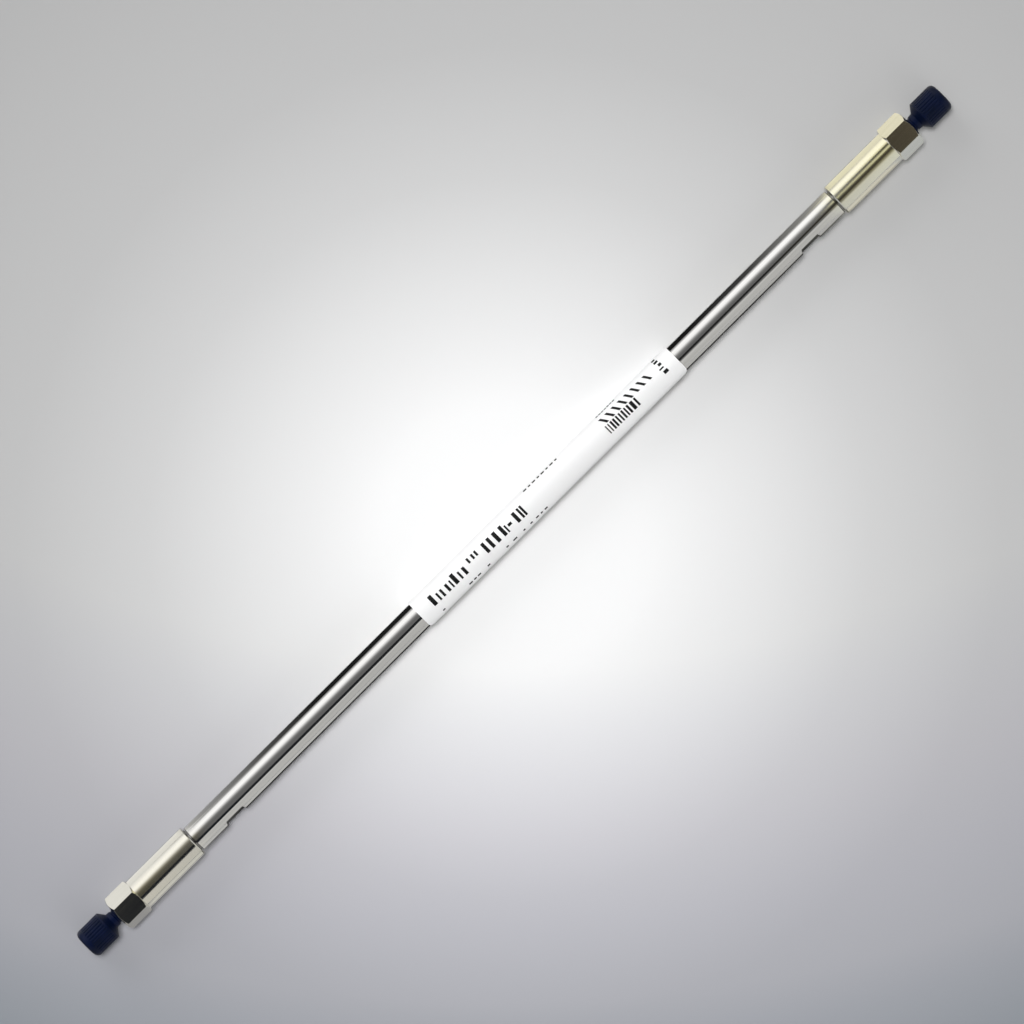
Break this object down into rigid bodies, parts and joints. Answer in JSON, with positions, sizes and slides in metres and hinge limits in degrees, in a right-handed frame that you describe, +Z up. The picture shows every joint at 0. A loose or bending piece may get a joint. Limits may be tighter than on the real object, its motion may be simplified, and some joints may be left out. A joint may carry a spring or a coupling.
{
  "type": "liquid chromatography column",
  "caption": "Slim steel chromatography column: a long packed tube with a hexagon end fitting on each end, each port closed by a blue finger-tight plug, and a white wrap label.",
  "frame": {"origin": "on the column's axis, half way between the two end faces", "axes": "+X along the column from the inlet end to the outlet end, +Z up from the flat it lies on, -Y towards the milled flats"},
  "size_m": [0.3162, 0.011, 0.0102],
  "materials": {
    "polished_stainless": "polished along the tube, bright",
    "turned_stainless": "fine turned, bright, slightly warm",
    "sintered_steel": "porous, dull",
    "seal_polymer": "machined, satin",
    "plug_polymer": "moulded navy blue, satin",
    "packing": "fine packed powder",
    "label_film": "white printed film, satin"
  },
  "bodies": {
    "column": {"column_tube": "polished_stainless", "packed_bed": "packing", "inlet_end_fitting": "turned_stainless", "outlet_end_fitting": "turned_stainless", "inlet_frit": "sintered_steel", "outlet_frit": "sintered_steel", "inlet_frit_ring": "seal_polymer", "outlet_frit_ring": "seal_polymer", "label": "label_film"},
    "inlet_closure": {"inlet_plug": "plug_polymer"},
    "outlet_closure": {"outlet_plug": "plug_polymer"}
  },
  "joints": [
    {"name": "inlet_plug_unscrew", "type": "slide", "parent": "column", "child": "inlet_closure", "axis": [-1, 0, 0], "range_m": [0, 0.012]},
    {"name": "outlet_plug_unscrew", "type": "slide", "parent": "column", "child": "outlet_closure", "axis": [1, 0, 0], "range_m": [0, 0.012]}
  ]
}
